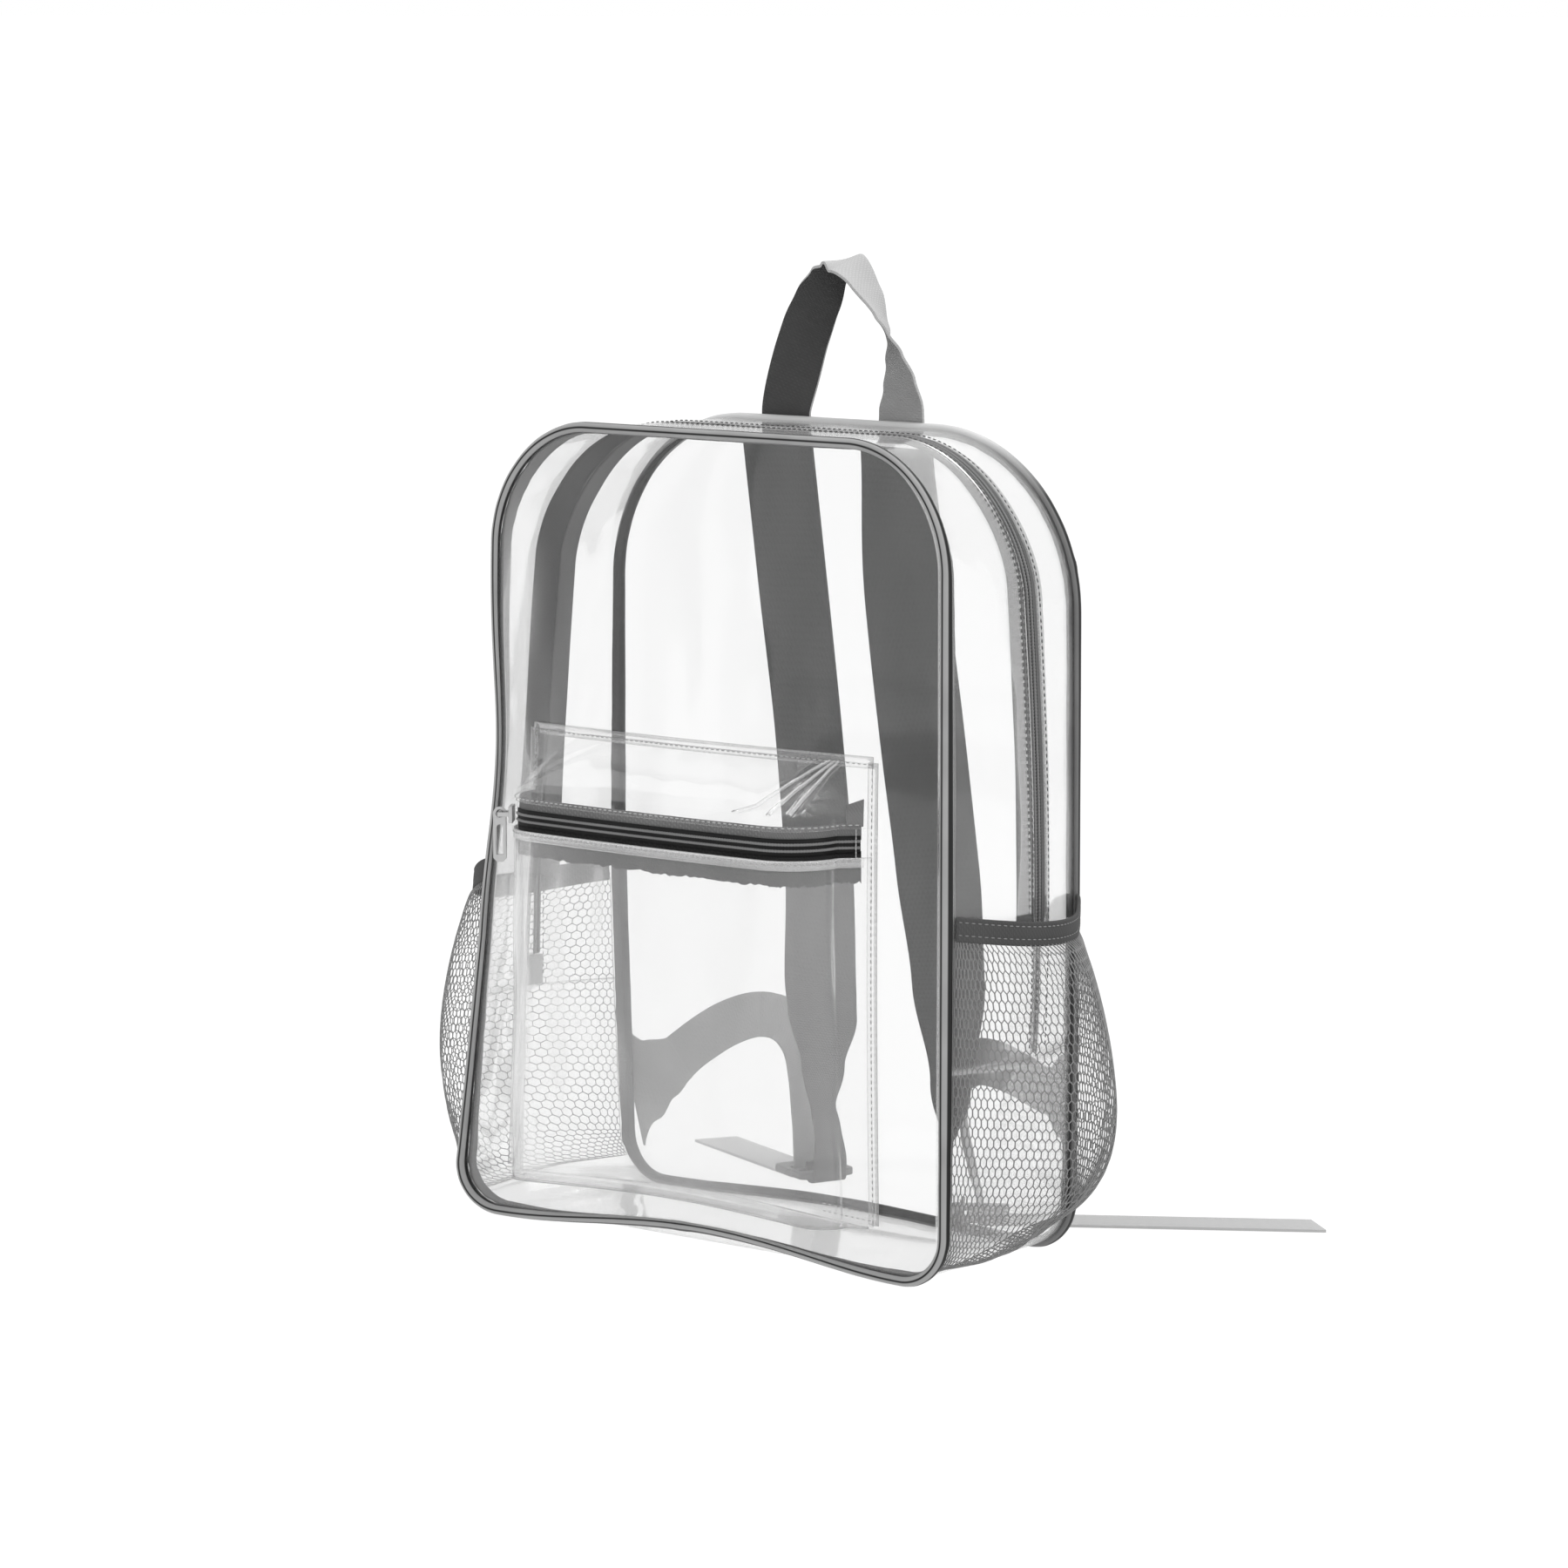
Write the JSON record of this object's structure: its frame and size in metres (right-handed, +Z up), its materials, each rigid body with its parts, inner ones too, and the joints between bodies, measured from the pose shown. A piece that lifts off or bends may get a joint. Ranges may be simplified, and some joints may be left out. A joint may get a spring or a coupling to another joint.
{
  "type": "clear pvc backpack",
  "caption": "Clear PVC backpack with grey piping, a zipped arched opening, a zipped front pocket, net side pockets, a top handle and fabric shoulder straps.",
  "frame": {"origin": "on the floor, under the middle of the base", "axes": "+Z up, -Y towards the front pocket, +X to the right seen from the front"},
  "size_m": [0.4448, 0.2977, 0.5069],
  "materials": {
    "clear_pvc": "clear flexible sheet, glossy, with soft wrinkles",
    "piping": "satin grey vinyl over a cord",
    "tape": "woven grey tape",
    "zip_coil": "dark nylon coil",
    "metal": "satin nickel",
    "net": "open grey net",
    "strap": "woven grey fabric",
    "webbing": "woven light grey webbing",
    "lock": "moulded grey plastic"
  },
  "bodies": {
    "bag": {"front_panel": "clear_pvc", "back_panel": "clear_pvc", "front_gusset": "clear_pvc", "back_gusset": "clear_pvc", "base_gusset": "clear_pvc", "front_pocket_body": "clear_pvc", "front_pocket_base": "clear_pvc", "front_pocket_top": "clear_pvc", "front_piping": "piping", "back_piping": "piping", "front_binding": "tape", "back_binding": "tape", "front_zip_tape": "tape", "back_zip_tape": "tape", "main_zip_coil": "zip_coil", "main_zip_slider": "metal", "pocket_zip_upper_tape": "tape", "pocket_zip_lower_tape": "tape", "pocket_zip_coil": "zip_coil", "pocket_zip_slider": "metal", "mesh_pocket_left": "net", "mesh_pocket_right": "net", "pocket_elastic_left": "tape", "pocket_elastic_right": "tape", "handle": "strap", "shoulder_strap_left": "strap", "shoulder_strap_right": "strap", "ladder_lock_left": "lock", "ladder_lock_right": "lock", "tab_left": "webbing", "tab_right": "webbing", "webbing_left": "webbing", "webbing_right": "webbing"},
    "zip_pull": {"pocket_zip_pull": "metal"}
  },
  "joints": [
    {"name": "pull_swing", "type": "hinge", "parent": "bag", "child": "zip_pull", "pos_m": [-0.10792, -0.09502, 0.223], "axis": [-0.564, 0.8258, 0], "range_deg": [-6, 110]}
  ]
}
